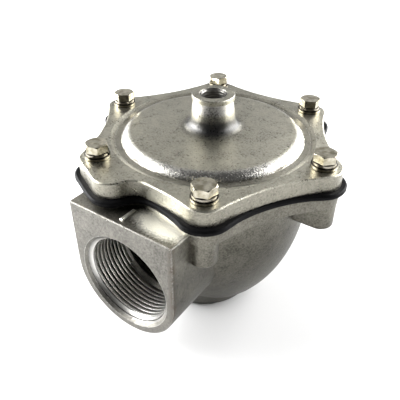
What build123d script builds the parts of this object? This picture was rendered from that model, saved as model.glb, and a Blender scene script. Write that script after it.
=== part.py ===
from build123d import *
import math
import os

# Right-angle diaphragm pulse valve: gas enters through the side port, and leaves through the
# bottom port when the diaphragm lifts off its seat. All lengths are in millimetres.
# Origin: middle of the outlet face, on the valve's axis. +Z is up, and the inlet looks along -Y.

# Body: a bowl with an outlet spigot below and a flange for the cover on top
body_height = 79.8
body_flange_t = 7.0
bowl_r = 52.1
bowl_wall = 5.0
bowl_centre_drop = 20.2
bowl_curve_spans = 8
spigot_length = 0.5
spigot_wall = 6.6
mouth_lip_width = 2.6
mouth_lip_t = 7.0

# Foot of the bowl on the inlet's side, where the casting is thicker
foot_shift = 6.6
foot_inset = 1.6
foot_bottom_z = 0.6
foot_top_z = 26.0

# Bolts that hold the cover: M6 with 10 mm across flats
bolt_count = 6
bolt_circle_gap = 7.9
bolt_r = 3.0
bolt_length = 25.0
bolt_head_flats = 10.0
bolt_head_height = 4.0
head_chamfer_width = 0.7
head_chamfer_height = 0.42
bolt_tip_chamfer = 0.6
bolt_turns = (39.0, 7.0, 25.0, 44.0, 20.0, 18.0)
bolt_hole_clearance = 0.4
bolt_thread_clearance = 0.05
bolt_hole_spare = 3.2

# Bosses round the bolt holes, under the body's flange
boss_r = 6.6
boss_offset = 2.3
boss_floor = 6.0
boss_bottom_round = 1.5

# Washers under the bolt heads
washer_hole_clearance = 0.2
flat_washer_r = 6.0
flat_washer_t = 1.6
spring_washer_r = 5.5
spring_washer_t = 1.6
spring_washer_gap = 1.0
spring_washer_slant = 25.0

# Lobed outline that the cover and the body's flange share
lobe_r = 10.0
lobe_inset = 1.0
ring_land = 5.1
ear_angle = -104.3
ear_blend_r = 8.0
flange_edge_round = 0.8

# Diaphragm: its edge stands out beyond the flanges
diaphragm_t = 3.0
diaphragm_lobe_overhang = 3.0
diaphragm_waist_overhang = 1.2
diaphragm_edge_round = 1.2
diaphragm_hole_clearance = 0.3
convolution_gap = 5.5
convolution_width = 4.5
convolution_round = 2.0
convolution_thinning = 0.5

# Pipe threads: the bores are cut at the thread's major radius
port_thread_r = 23.9
port_thread_depth = 23.0
port_mouth_flare = 1.4
inlet_runout = 2.4
outlet_runout = 3.4
pilot_thread_r = 6.58
pilot_mouth_flare = 0.22
pilot_runout = 2.18
pilot_ledge = 2.5

# Inlet block, with a flat top and a half-round bottom
inlet_axis_drop = 36.7
inlet_reach_past_bowl = 21.3
block_wall = 5.2
block_top_drop = 1.7
block_edge_round = 0.5
block_blend_r = 2.0
cast_bar_length = 9.0
cast_bar_width = 1.9
cast_bar_height = 0.7
cast_bar_setback = 7.3

# Outlet tube that rises through the bowl and carries the seat
seat_drop = 9.8
tube_wall = 4.5
tube_root_wall = 4.8
tube_root_z = 30.0
tube_waist_z = 40.0

# Cover
cover_flange_t = 8.0
cavity_inset = 1.5
cavity_round = 3.0
roof_drop = 0.8
dome_foot_wall = 3.3
dome_shoulder_width = 4.9
dome_shoulder_rise = 2.4
dome_rise = 3.9
dome_blend_r = 5.0
groove_floor_width = 3.3
groove_slope_width = 2.4
groove_depth = 1.2
boss_top_rise = 20.7
collar_wall = 4.07
collar_height = 2.5
collar_edge_round = 0.4
collar_overhang = 0.75
neck_flare = 2.1

# Moving stack on the diaphragm's middle, with M6 fasteners
lift = 9.5
backing_plate_inset = 3.5
backing_plate_t = 3.0
backing_rim_height = 1.2
backing_rim_width = 2.0
backing_middle_width = 8.0
clamp_plate_gap = 2.0
clamp_plate_t = 3.0
plate_edge_round = 0.8
screw_r = 3.0
screw_length = 16.0
screw_head_depth = 3.0
screw_socket_flats = 4.0
screw_socket_depth = 2.2
screw_fit = 0.2
nut_flats = 10.0
nut_height = 5.0
lock_washer_r = 5.5
lock_washer_t = 1.6

# Return spring round the screw's head, in a pocket of the cover's boss
spring_wire_r = 0.55
spring_head_gap = 0.45
spring_turns = 6
spring_pocket_gap = 1.0
spring_pocket_depth = 7.0

# Ribs under the cover's roof that stop the backing plate
stop_rib_count = 6
stop_rib_width = 4.0
stop_rib_inset = 5.0
stop_rib_end_gap = 7.0
stop_clearance = 0.3

# Bleed path: a drilling from the inlet, a brass jet, a hole in the diaphragm and a groove in the cover
jet_r = 2.5
jet_height = 5.0
jet_orifice_r = 0.6
jet_fit = 0.02
bleed_drill_r = 1.6
bleed_drill_end_side = -12.0
bleed_drill_end_setback = 28.4
bleed_drill_end_rise = 13.9
bleed_hole_r = 2.0
bleed_groove_width = 3.2
bleed_groove_depth = 2.0

# Radii that follow from the sizes above
spigot_r = port_thread_r + spigot_wall
foot_r = spigot_r - foot_inset
tube_root_r = port_thread_r + tube_root_wall
tube_bore_r = port_thread_r - outlet_runout
tube_r = tube_bore_r + tube_wall
chamber_r = bowl_r - bowl_wall
mouth_r = chamber_r - mouth_lip_width
bolt_circle_r = bowl_r + bolt_circle_gap
boss_centre_r = bolt_circle_r + boss_offset
cavity_r = mouth_r - cavity_inset
dome_r = cavity_r + dome_foot_wall
dome_shoulder_r = dome_r - dome_shoulder_width
groove_slope_r = dome_r + groove_floor_width
groove_outer_r = groove_slope_r + groove_slope_width
waist_r = groove_outer_r + ring_land
collar_r = pilot_thread_r + collar_wall
neck_top_r = collar_r - collar_overhang
neck_foot_r = neck_top_r + neck_flare
convolution_outer_r = mouth_r - convolution_gap
convolution_inner_r = convolution_outer_r - convolution_width
backing_plate_r = convolution_inner_r - backing_plate_inset
clamp_plate_r = tube_bore_r - clamp_plate_gap
screw_head_r = screw_r + screw_head_depth
spring_r = screw_head_r + spring_head_gap + spring_wire_r
spring_pocket_r = spring_r + spring_pocket_gap
stop_rib_inner_r = spring_pocket_r + stop_rib_inset
stop_rib_outer_r = cavity_r - stop_rib_end_gap

# Heights and reaches that follow from the sizes above
bowl_centre_z = body_height - bowl_centre_drop
bowl_depth = (bowl_centre_z - spigot_length) / math.sqrt(1 - (spigot_r / bowl_r) ** 2)
inlet_axis_z = body_height - inlet_axis_drop
inlet_reach = bowl_r + inlet_reach_past_bowl
block_half_width = port_thread_r + block_wall
block_top_z = body_height - block_top_drop
cover_bottom_z = body_height + diaphragm_t
cover_top_z = cover_bottom_z + cover_flange_t
head_seat_z = cover_top_z + flat_washer_t + spring_washer_t
bolt_hole_z = head_seat_z - bolt_length - bolt_hole_spare
boss_bottom_z = bolt_hole_z - boss_floor
roof = cover_top_z - roof_drop
pocket_top = roof + spring_pocket_depth
collar_top = cover_top_z + boss_top_rise
pilot_thread_depth = collar_top - pocket_top - pilot_ledge
seat_z = body_height - seat_drop
backing_plate_z = seat_z + diaphragm_t
backing_plate_top = backing_plate_z + backing_plate_t
clamp_plate_z = seat_z - clamp_plate_t
lock_washer_z = clamp_plate_z - lock_washer_t
nut_z = lock_washer_z - nut_height

# Overrun of a cut past the face that it opens, and the closeness that counts as touching
overrun = 1.0
tolerance = 0.01


def polar(radius, angle):
    """Point at a radius and an angle in degrees."""
    return Vector(radius * math.cos(math.radians(angle)), radius * math.sin(math.radians(angle)))


def bolt_angle(number):
    """Direction of a bolt: number 1 lies along -X, and the rest follow clockwise from above."""
    return 180 - (number - 1) * 360 / bolt_count


def disc(radius, low, high, inner=0.0):
    """Upright cylinder between two heights, with a hole where inner is given."""
    shape = Pos(0, 0, low) * Cylinder(radius, high - low, align=(Align.CENTER, Align.CENTER, Align.MIN))
    if inner > 0:
        shape -= Pos(0, 0, low) * Cylinder(inner, high - low, align=(Align.CENTER, Align.CENTER, Align.MIN))
    return shape


def waist_arc_radius(lobe, waist):
    """Radius of the arc that touches two neighbouring lobes at the waist; below 0 it bulges outward."""
    half_step = math.radians(180 / bolt_count)
    across = (bolt_circle_r - lobe_inset) * math.cos(half_step)
    aside = (bolt_circle_r - lobe_inset) * math.sin(half_step)
    inward = waist - across
    return (inward**2 + aside**2 - lobe**2) / (2 * (lobe - inward))


def lobed_outline(lobe, waist, ear):
    """Six rounded lobes with hollow arcs between them, and one ear beside the sixth lobe."""
    arc_r = waist_arc_radius(lobe, waist)
    step = 360 / bolt_count
    edges = []
    for index in range(bolt_count):
        angle = index * step
        centre = polar(bolt_circle_r - lobe_inset, angle)
        before = polar(waist + arc_r, angle - step / 2)
        after = polar(waist + arc_r, angle + step / 2)
        side = math.copysign(lobe, arc_r)
        start = centre + (before - centre).normalized() * side
        end = centre + (after - centre).normalized() * side
        tip = polar(bolt_circle_r - lobe_inset + lobe, angle)
        following = polar(bolt_circle_r - lobe_inset, angle + step)
        reach = following + (after - following).normalized() * side
        edges.append(ThreePointArc(start, tip, end))
        edges.append(ThreePointArc(end, polar(waist, angle + step / 2), reach))
    outline = make_face(Wire(edges))
    lobe_centre = polar(bolt_circle_r - lobe_inset, bolt_angle(bolt_count))
    ear_centre = polar(bolt_circle_r, ear_angle)
    span = ear_centre - lobe_centre
    turn = math.degrees(math.atan2(span.Y, span.X))
    slot = SlotCenterToCenter(span.length, 2 * ear)
    middle = (lobe_centre + ear_centre) / 2
    outline += Pos(middle.X, middle.Y) * Rot(0, 0, turn) * slot
    on_ear = [v for v in outline.vertices() if abs((Vector(v) - ear_centre).length - ear) < tolerance]
    next_lobe = polar(bolt_circle_r - lobe_inset, bolt_angle(bolt_count - 1))
    notch = ShapeList(on_ear).sort_by_distance(next_lobe)[0]
    return fillet(notch, ear_blend_r)


def flange(low, high):
    """Lobed flange of the castings between two heights."""
    return Pos(0, 0, low) * extrude(lobed_outline(lobe_r, waist_r, lobe_r), high - low)


def at_bolts(shape):
    """The shape, which lies at radius 0, repeated at every bolt."""
    copies = []
    for number in range(1, bolt_count + 1):
        place = polar(bolt_circle_r, bolt_angle(number))
        copies.append(Pos(place.X, place.Y, 0) * shape)
    return copies


def ellipse_z(radius, half_width, depth):
    """Height at which the bowl's elliptical wall has a radius."""
    return bowl_centre_z - depth * math.sqrt(1 - (radius / half_width) ** 2)


def bowl_r_at(height):
    """Radius of the bowl's outside at a height."""
    return bowl_r * math.sqrt(1 - ((bowl_centre_z - height) / bowl_depth) ** 2)


def bowl_curve(half_width, depth, foot_r):
    """Elliptical line in the XZ plane from a foot radius up to the bowl's widest place."""
    foot_turn = math.acos(foot_r / half_width)
    points = []
    for index in range(bowl_curve_spans + 1):
        turn = foot_turn * (index / bowl_curve_spans - 1)
        points.append((half_width * math.cos(turn), 0, bowl_centre_z + depth * math.sin(turn)))
    foot_slope = (half_width * math.sin(foot_turn), 0, depth * math.cos(foot_turn))
    return Spline(*points, tangents=(foot_slope, (0, 0, 1)))


def turned(*edges):
    """Solid of revolution about the valve's axis, from a closed line in the XZ plane."""
    return revolve(make_face(Wire(list(edges))), Axis.Z)


def bowl_outside():
    """Outside of the bowl with its outlet spigot, up to the underside of the flange."""
    top = body_height - body_flange_t
    return turned(
        Line((0, 0, 0), (spigot_r, 0, 0)),
        Line((spigot_r, 0, 0), (spigot_r, 0, spigot_length)),
        bowl_curve(bowl_r, bowl_depth, spigot_r),
        Line((bowl_r, 0, bowl_centre_z), (bowl_r, 0, top)),
        Line((bowl_r, 0, top), (0, 0, top)),
        Line((0, 0, top), (0, 0, 0)),
    )


def inlet_side_foot():
    """Widening foot that is set off toward the inlet and runs out in the bowl's wall at its top."""
    top_r = bowl_r_at(foot_top_z) - foot_shift
    foot = Cone(foot_r, top_r, foot_top_z - foot_bottom_z, align=(Align.CENTER, Align.CENTER, Align.MIN))
    return Pos(0, -foot_shift, foot_bottom_z) * foot


def inlet_block():
    """Block around the inlet thread: flat top, straight sides and a half-round bottom."""
    straight = block_top_z - inlet_axis_z
    profile = Pos(0, straight / 2) * Rectangle(2 * block_half_width, straight) + Circle(block_half_width)
    face_plane = Plane(origin=(0, -inlet_reach, inlet_axis_z), x_dir=(1, 0, 0), z_dir=(0, 1, 0))
    return extrude(Plane(face_plane.origin, x_dir=(1, 0, 0), z_dir=(0, -1, 0)) * profile, -inlet_reach)


def chamber():
    """Hollow inside of the bowl: the ring around the outlet tube and the mouth above the seat."""
    inner_depth = bowl_depth - bowl_wall
    lip_z = body_height - mouth_lip_t
    slope_top = lip_z - mouth_lip_width
    return turned(
        Line((tube_root_r, 0, ellipse_z(tube_root_r, chamber_r, inner_depth)), (tube_root_r, 0, tube_root_z)),
        Line((tube_root_r, 0, tube_root_z), (tube_r, 0, tube_waist_z)),
        Line((tube_r, 0, tube_waist_z), (tube_r, 0, seat_z)),
        Line((tube_r, 0, seat_z), (0, 0, seat_z)),
        Line((0, 0, seat_z), (0, 0, body_height)),
        Line((0, 0, body_height), (mouth_r, 0, body_height)),
        Line((mouth_r, 0, body_height), (mouth_r, 0, lip_z)),
        Line((mouth_r, 0, lip_z), (chamber_r, 0, slope_top)),
        Line((chamber_r, 0, slope_top), (chamber_r, 0, bowl_centre_z)),
        bowl_curve(chamber_r, inner_depth, tube_root_r),
    )


def boss_profile():
    """Plan of one bolt boss, which reaches in to the bowl's wall, for the bolt on +X."""
    root = bowl_r - bowl_wall / 2
    bar = Pos((root + boss_centre_r) / 2, 0) * Rectangle(boss_centre_r - root, 2 * boss_r)
    return bar + Pos(boss_centre_r, 0) * Circle(boss_r)


def bolt_bosses():
    """Six bosses under the flange, round-nosed and rounded at the bottom."""
    height = body_height - body_flange_t - boss_bottom_z
    boss = Pos(0, 0, boss_bottom_z) * extrude(boss_profile(), height)
    bottom = boss.faces().sort_by(Axis.Z)[0]
    nose = [edge for edge in bottom.edges() if edge.center().X > bowl_r]
    boss = fillet(nose, boss_bottom_round)
    return [Rot(0, 0, bolt_angle(number)) * boss for number in range(1, bolt_count + 1)]


def port_cutter(plane, thread_r, thread_depth, flare, runout, bore_depth):
    """Chamfered thread bore and the plain bore behind it, along the plane's normal into the part."""
    bore = thread_r - runout
    line = Polyline(
        (0, 0, 0),
        (thread_r + flare, 0, 0),
        (thread_r, 0, flare),
        (thread_r, 0, thread_depth),
        (bore, 0, thread_depth + runout),
        (bore, 0, bore_depth),
        (0, 0, bore_depth),
        close=True,
    )
    return plane * revolve(make_face(line), Axis.Z)


def inlet_cutter():
    """Inlet thread and bore, from the block's face into the chamber."""
    plane = Plane(origin=(0, -inlet_reach, inlet_axis_z), x_dir=(1, 0, 0), z_dir=(0, 1, 0))
    reach = inlet_reach - tube_r - bowl_wall
    return port_cutter(plane, port_thread_r, port_thread_depth, port_mouth_flare, inlet_runout, reach)


def outlet_cutter():
    """Outlet thread at the bottom and the bore of the tube up through the seat."""
    return port_cutter(Plane.XY, port_thread_r, port_thread_depth, port_mouth_flare, outlet_runout, body_height)


def bleed_cutter():
    """Pocket for the brass jet, and the slanted drilling from it down to the inlet bore."""
    ear = polar(bolt_circle_r, ear_angle)
    start = Vector(ear.X, ear.Y, body_height - jet_height)
    end_y = bleed_drill_end_setback - inlet_reach
    end = Vector(bleed_drill_end_side, end_y, inlet_axis_z + bleed_drill_end_rise)
    slant = end - start
    drilling = Plane(start, z_dir=slant) * Cylinder(
        bleed_drill_r, slant.length, align=(Align.CENTER, Align.CENTER, Align.MIN)
    )
    return Pos(ear.X, ear.Y, 0) * disc(jet_r, body_height - jet_height, body_height) + drilling


def cast_bar():
    """Small raised bar that is cast on the top of the inlet block, in line with the inlet."""
    bar = Box(cast_bar_width, cast_bar_length, 2 * cast_bar_height)
    bar = chamfer(bar.faces().sort_by(Axis.Z)[-1].edges(), cast_bar_height / 2)
    return Pos(0, cast_bar_setback - inlet_reach, block_top_z) * bar


def valve_body():
    """One casting: bowl, outlet tube with the seat, inlet block, flange and bolt bosses."""
    block = inlet_block()
    face = block.faces().sort_by(Axis.Y)[0]
    long_edges = block.edges().filter_by(Axis.Y).group_by(Axis.Z)[-1]
    block = fillet(face.edges() + long_edges, block_edge_round)
    outside = bowl_outside()
    body = outside + block
    seams = [edge for edge in body.edges() if is_block_seam(edge)]
    body = fillet(seams, block_blend_r)
    body += inlet_side_foot()
    rim = flange(body_height - body_flange_t, body_height)
    body += rim
    body += bolt_bosses()
    body += cast_bar()
    body -= chamber()
    body -= inlet_cutter()
    body -= outlet_cutter()
    body -= bleed_cutter()
    thread_hole = disc(bolt_r + bolt_thread_clearance, bolt_hole_z, body_height)
    body -= at_bolts(thread_hole)
    return body


def is_block_seam(edge):
    """True for the edges where the inlet block's sides and bottom meet the bowl."""
    middle = edge @ 0.5
    radius = math.hypot(middle.X, middle.Y)
    flange_z = body_height - body_flange_t
    on_block = middle.Y < 0 and abs(middle.X) < block_half_width + tolerance
    on_bowl = tube_bore_r < radius < bowl_r + tolerance
    return on_block and on_bowl and spigot_length < middle.Z < flange_z - tolerance


def cover_outside():
    """Turned outside of the cover inside the ring step: groove, low dome, flared neck and collar."""
    groove_z = cover_top_z - groove_depth
    shoulder_z = cover_top_z + dome_shoulder_rise
    centre_z = cover_top_z + dome_rise
    collar_foot = collar_top - collar_height
    shoulder_slope = (dome_shoulder_r - neck_foot_r, 0, shoulder_z - centre_z)
    section = make_face(
        Wire(
            [
                Line((0, 0, cover_bottom_z), (groove_outer_r, 0, cover_bottom_z)),
                Line((groove_outer_r, 0, cover_bottom_z), (groove_outer_r, 0, cover_top_z)),
                Line((groove_outer_r, 0, cover_top_z), (groove_slope_r, 0, groove_z)),
                Line((groove_slope_r, 0, groove_z), (dome_r, 0, groove_z)),
                TangentArc((dome_shoulder_r, 0, shoulder_z), (dome_r, 0, groove_z), tangent=shoulder_slope),
                Line((dome_shoulder_r, 0, shoulder_z), (neck_foot_r, 0, centre_z)),
                Line((neck_foot_r, 0, centre_z), (neck_top_r, 0, collar_foot)),
                Line((neck_top_r, 0, collar_foot), (collar_r, 0, collar_foot)),
                Line((collar_r, 0, collar_foot), (collar_r, 0, collar_top)),
                Line((collar_r, 0, collar_top), (0, 0, collar_top)),
                Line((0, 0, collar_top), (0, 0, cover_bottom_z)),
            ]
        )
    )
    shape = revolve(section, Axis.Z)
    rings = shape.edges().filter_by(GeomType.CIRCLE)
    neck_foot = [edge for edge in rings if is_ring(edge, neck_foot_r, centre_z)]
    shape = fillet(neck_foot, dome_blend_r)
    rings = shape.edges().filter_by(GeomType.CIRCLE)
    collar_edge = [edge for edge in rings if is_ring(edge, collar_r, collar_top)]
    return fillet(collar_edge, collar_edge_round)


def is_ring(edge, radius, height):
    """True for a circular edge about the valve's axis with this radius and height."""
    return abs(edge.radius - radius) < tolerance and abs(edge.arc_center.Z - height) < tolerance


def stop_ribs():
    """Ribs under the cover's roof, where the backing plate stops when the valve is open."""
    low = backing_plate_top + lift + stop_clearance
    length = stop_rib_outer_r - stop_rib_inner_r
    rib = Pos(stop_rib_inner_r + length / 2, 0, (low + roof) / 2) * Box(length, stop_rib_width, roof - low)
    rib = fillet(rib.edges().filter_by(Axis.Z), stop_rib_width / 2 - tolerance)
    return [Rot(0, 0, (index + 0.5) * 360 / stop_rib_count) * rib for index in range(stop_rib_count)]


def cover_cavity():
    """Space above the diaphragm, with a rounded upper edge, and the spring's pocket above it."""
    room = disc(cavity_r, cover_bottom_z - overrun, roof)
    room = fillet(room.faces().sort_by(Axis.Z)[-1].edges(), cavity_round)
    return room + disc(spring_pocket_r, roof - overrun, pocket_top)


def pilot_cutter():
    """Pilot thread at the top of the boss and the bore down to the spring's pocket."""
    plane = Plane(origin=(0, 0, collar_top), x_dir=(1, 0, 0), z_dir=(0, 0, -1))
    reach = collar_top - pocket_top + overrun
    return port_cutter(plane, pilot_thread_r, pilot_thread_depth, pilot_mouth_flare, pilot_runout, reach)


def bleed_groove():
    """Groove in the cover's underside from the ear to the space above the diaphragm."""
    length = bolt_circle_r - cavity_r + bleed_groove_width
    middle = polar((cavity_r + bolt_circle_r) / 2, ear_angle)
    slot = SlotOverall(length + bleed_groove_width, bleed_groove_width)
    groove = extrude(slot, bleed_groove_depth)
    return Pos(middle.X, middle.Y, cover_bottom_z) * Rot(0, 0, ear_angle) * groove


def cover():
    """One casting: lobed flange, ring step, low dome and the threaded boss."""
    rim = flange(cover_bottom_z, cover_top_z)
    rim = fillet(rim.faces().sort_by(Axis.Z)[-1].edges(), flange_edge_round)
    shape = rim - disc(groove_outer_r, cover_bottom_z - overrun, cover_top_z + overrun)
    shape += cover_outside()
    shape -= cover_cavity()
    shape += stop_ribs()
    shape -= pilot_cutter()
    shape -= bleed_groove()
    shape -= at_bolts(disc(bolt_r + bolt_hole_clearance, cover_bottom_z - overrun, cover_top_z + overrun))
    return shape


def diaphragm():
    """Rubber sheet: clamped edge, one convolution, and the middle that lies on the seat."""
    edge_z = body_height
    slope = Polyline(
        (convolution_outer_r, 0, edge_z),
        (convolution_inner_r + diaphragm_t, 0, seat_z),
    )
    section = Polyline(
        (0, 0, seat_z),
        slope @ 1,
        slope @ 0,
        (groove_outer_r, 0, edge_z),
        (groove_outer_r, 0, edge_z + diaphragm_t),
        (convolution_outer_r - diaphragm_t + convolution_thinning, 0, edge_z + diaphragm_t),
        (convolution_inner_r, 0, seat_z + diaphragm_t),
        (0, 0, seat_z + diaphragm_t),
        close=True,
    )
    shape = revolve(make_face(section), Axis.Z)
    bends = [edge for edge in shape.edges().filter_by(GeomType.CIRCLE) if is_convolution(edge)]
    shape = fillet(bends, convolution_round)
    lobe = lobe_r + diaphragm_lobe_overhang
    outline = lobed_outline(lobe, waist_r + diaphragm_waist_overhang, lobe)
    rim = Pos(0, 0, edge_z) * extrude(outline, diaphragm_t)
    rim = fillet(rim.faces().sort_by(Axis.Z)[-1].edges(), diaphragm_edge_round)
    rim = fillet(rim.faces().sort_by(Axis.Z)[0].edges(), diaphragm_edge_round)
    shape += rim - disc(groove_outer_r, edge_z, edge_z + diaphragm_t)
    shape -= disc(screw_r + diaphragm_hole_clearance, seat_z, seat_z + diaphragm_t)
    shape -= at_bolts(disc(bolt_r + diaphragm_hole_clearance, edge_z, edge_z + diaphragm_t))
    ear = polar(bolt_circle_r, ear_angle)
    return shape - Pos(ear.X, ear.Y) * disc(bleed_hole_r, edge_z, edge_z + diaphragm_t)


def is_convolution(edge):
    """True for the bends of the diaphragm's convolution."""
    return convolution_inner_r - 1 < edge.radius < convolution_outer_r + 1


def backing_plate():
    """Disc on the diaphragm, with a rim that stiffens it and a countersunk hole."""
    plate = disc(backing_plate_r, backing_plate_z, backing_plate_top)
    rim_low = backing_plate_top - backing_rim_height
    middle_r = spring_pocket_r + backing_middle_width
    plate -= disc(backing_plate_r - backing_rim_width, rim_low, backing_plate_top, inner=middle_r)
    plate = fillet([edge for edge in plate.edges() if is_outer_edge(edge, backing_plate_r)], plate_edge_round)
    return plate - screw_shape(screw_fit)


def is_outer_edge(edge, radius):
    """True for circular edges with this radius."""
    return edge.geom_type == GeomType.CIRCLE and abs(edge.radius - radius) < tolerance


def clamp_plate():
    """Disc below the diaphragm, inside the seat."""
    plate = disc(clamp_plate_r, clamp_plate_z, seat_z, inner=screw_r + screw_fit)
    edges = [edge for edge in plate.edges() if is_outer_edge(edge, clamp_plate_r)]
    return fillet(edges, plate_edge_round)


def screw_shape(grow):
    """Countersunk screw from its head's face down, grown by a clearance to cut its hole."""
    line = Polyline(
        (0, 0, backing_plate_top),
        (screw_head_r + grow, 0, backing_plate_top),
        (screw_r + grow, 0, backing_plate_top - screw_head_depth),
        (screw_r + grow, 0, backing_plate_top - screw_length),
        (0, 0, backing_plate_top - screw_length),
        close=True,
    )
    return revolve(make_face(line), Axis.Z)


def hexagon(flats, height):
    """Six-sided prism with the given width across flats, standing on Z 0."""
    return extrude(RegularPolygon(flats / 2, 6, major_radius=False), height)


def centre_screw():
    """Countersunk screw with a hexagon socket, from the top of the backing plate."""
    socket = Pos(0, 0, backing_plate_top - screw_socket_depth) * hexagon(screw_socket_flats, screw_socket_depth)
    return screw_shape(0) - socket


def split_washer(radius, hole_r, thickness, gap, slant):
    """Spring washer pressed flat: a ring with a slanted cut through one side."""
    ring = disc(radius, 0, thickness, inner=hole_r)
    cut = Box(radius, gap, 4 * thickness, align=(Align.MIN, Align.CENTER, Align.CENTER))
    return ring - Pos(hole_r / 2, 0, thickness / 2) * Rot(slant, 0, 0) * cut


def centre_lock_washer():
    """Spring washer between the clamp plate and the nut."""
    washer = split_washer(
        lock_washer_r, screw_r + washer_hole_clearance, lock_washer_t, spring_washer_gap, spring_washer_slant
    )
    return Pos(0, 0, lock_washer_z) * washer


def chamfered_hexagon(flats, height):
    """Hexagon whose top corners are cut back to a round face, as on bolt heads and nuts."""
    corner_r = flats / math.sqrt(3)
    prism = hexagon(flats, height)
    cone = disc(corner_r, 0, height)
    cone = chamfer(cone.faces().sort_by(Axis.Z)[-1].edges(), head_chamfer_height, head_chamfer_width)
    return prism & cone


def centre_nut():
    """Nut that holds the stack together from below."""
    nut = Rot(180, 0, 0) * chamfered_hexagon(nut_flats, nut_height)
    nut = Pos(0, 0, nut_z + nut_height) * nut
    return nut - disc(screw_r + bolt_thread_clearance, nut_z, nut_z + nut_height)


def return_spring():
    """Compression spring from the backing plate up into the pocket in the cover's boss."""
    low = backing_plate_top + spring_wire_r
    high = pocket_top - spring_wire_r
    pitch = (high - low) / spring_turns
    path = Pos(0, 0, low) * Helix(pitch=pitch, height=high - low, radius=spring_r)
    start = Plane(origin=path @ 0, z_dir=path % 0)
    return sweep(start * Circle(spring_wire_r), path, is_frenet=True)


def bleed_jet():
    """Brass orifice pressed into the body's ear."""
    ear = polar(bolt_circle_r, ear_angle)
    jet = disc(jet_r - jet_fit, body_height - jet_height, body_height, inner=jet_orifice_r)
    return Pos(ear.X, ear.Y) * jet


def cover_bolt(number):
    """Hex bolt, seated on its spring washer, with its head turned as tightening left it."""
    place = polar(bolt_circle_r, bolt_angle(number))
    head = chamfered_hexagon(bolt_head_flats, bolt_head_height)
    shank = disc(bolt_r, -bolt_length, 0)
    shank = chamfer(shank.faces().sort_by(Axis.Z)[0].edges(), bolt_tip_chamfer)
    return Pos(place.X, place.Y, head_seat_z) * Rot(0, 0, bolt_turns[number - 1]) * (head + shank)


def spring_washer(number):
    """Split washer under one bolt head."""
    place = polar(bolt_circle_r, bolt_angle(number))
    washer = split_washer(
        spring_washer_r, bolt_r + washer_hole_clearance, spring_washer_t, spring_washer_gap, spring_washer_slant
    )
    height = cover_top_z + flat_washer_t
    return Pos(place.X, place.Y, height) * Rot(0, 0, bolt_turns[number - 1]) * washer


def flat_washer(number):
    """Flat washer between the cover and one spring washer."""
    place = polar(bolt_circle_r, bolt_angle(number))
    washer = disc(flat_washer_r, cover_top_z, cover_top_z + flat_washer_t, inner=bolt_r + washer_hole_clearance)
    return Pos(place.X, place.Y) * washer


def save(shape, name):
    """Writes one piece to its own file, named after the piece."""
    export_step(shape, f"parts/{name}.step")


def main():
    os.makedirs("parts", exist_ok=True)
    save(valve_body(), "valve_body")
    save(cover(), "cover")
    save(diaphragm(), "diaphragm")
    save(backing_plate(), "backing_plate")
    save(clamp_plate(), "clamp_plate")
    save(centre_screw(), "centre_screw")
    save(centre_lock_washer(), "centre_lock_washer")
    save(centre_nut(), "centre_nut")
    save(return_spring(), "return_spring")
    save(bleed_jet(), "bleed_jet")
    for number in range(1, bolt_count + 1):
        save(cover_bolt(number), f"cover_bolt_{number}")
        save(spring_washer(number), f"spring_washer_{number}")
        save(flat_washer(number), f"flat_washer_{number}")


if __name__ == "__main__":
    main()
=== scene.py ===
# %% [markdown]
# # A right-angle pulse valve in a small product studio
# The valve is a bowl-shaped aluminium casting with a lobed cover, six bolts and a rubber
# diaphragm clamped between the castings. The packed solids already have the true shapes, so this
# lesson keeps them where they are, gives each one a finish, and adds what plain solids leave
# out: the screw threads in the ports, the wavy rubber edge and the return spring. All lengths
# are in metres.

# %% Load the packed model
import bmesh
import bpy
import math
from mathutils import Matrix, Vector, noise


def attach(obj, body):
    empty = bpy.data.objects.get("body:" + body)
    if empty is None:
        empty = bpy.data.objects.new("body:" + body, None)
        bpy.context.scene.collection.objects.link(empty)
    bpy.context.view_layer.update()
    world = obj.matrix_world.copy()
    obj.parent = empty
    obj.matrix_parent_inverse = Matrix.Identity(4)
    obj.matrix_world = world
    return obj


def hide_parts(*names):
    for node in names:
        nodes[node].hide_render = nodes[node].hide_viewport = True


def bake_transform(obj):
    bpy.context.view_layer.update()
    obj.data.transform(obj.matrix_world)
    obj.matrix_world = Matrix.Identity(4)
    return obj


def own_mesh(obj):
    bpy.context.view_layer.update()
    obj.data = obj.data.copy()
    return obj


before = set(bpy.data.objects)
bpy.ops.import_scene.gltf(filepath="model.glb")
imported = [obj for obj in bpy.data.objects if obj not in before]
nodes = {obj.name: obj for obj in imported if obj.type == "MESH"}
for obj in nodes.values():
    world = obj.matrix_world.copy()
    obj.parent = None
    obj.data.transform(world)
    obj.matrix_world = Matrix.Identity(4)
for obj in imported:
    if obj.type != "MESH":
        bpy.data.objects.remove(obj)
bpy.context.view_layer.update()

# %% [markdown]
# The photograph was taken a little above the valve, from the right of the inlet. A camera has
# the right perspective only if its distance is right too, so place, aim and lens were solved
# together from the bolt heads and the edges of the castings. The small shift keeps the valve
# where it lies in the picture without turning the camera.

# %% Camera
CAMERA_PLACE = (0.1159, -0.1811, 0.20066)
CAMERA_AIM = (-0.4743, 0.6777, -0.5619)
CAMERA_LENS_MM = 42.05
CAMERA_SHIFT = (0.0120, -0.0264)
camera_data = bpy.data.cameras.new("camera")
camera_data.lens = CAMERA_LENS_MM
camera_data.shift_x, camera_data.shift_y = CAMERA_SHIFT
camera = bpy.data.objects.new("camera", camera_data)
camera.location = CAMERA_PLACE
camera.rotation_euler = Vector(CAMERA_AIM).to_track_quat("-Z", "Y").to_euler()
bpy.context.scene.collection.objects.link(camera)
bpy.context.scene.camera = camera
print("camera at", CAMERA_PLACE, "with a lens of", CAMERA_LENS_MM, "mm")

# %% [markdown]
# Metal shows the room more than itself, so the room comes first. The valve stands on pale paper
# that bends up into a wall behind it. That sheet could be a plane with a bevelled corner. Here
# its side profile is written as points and carried across, which gives the bend its true radius
# and leaves no line in the background.

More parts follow.
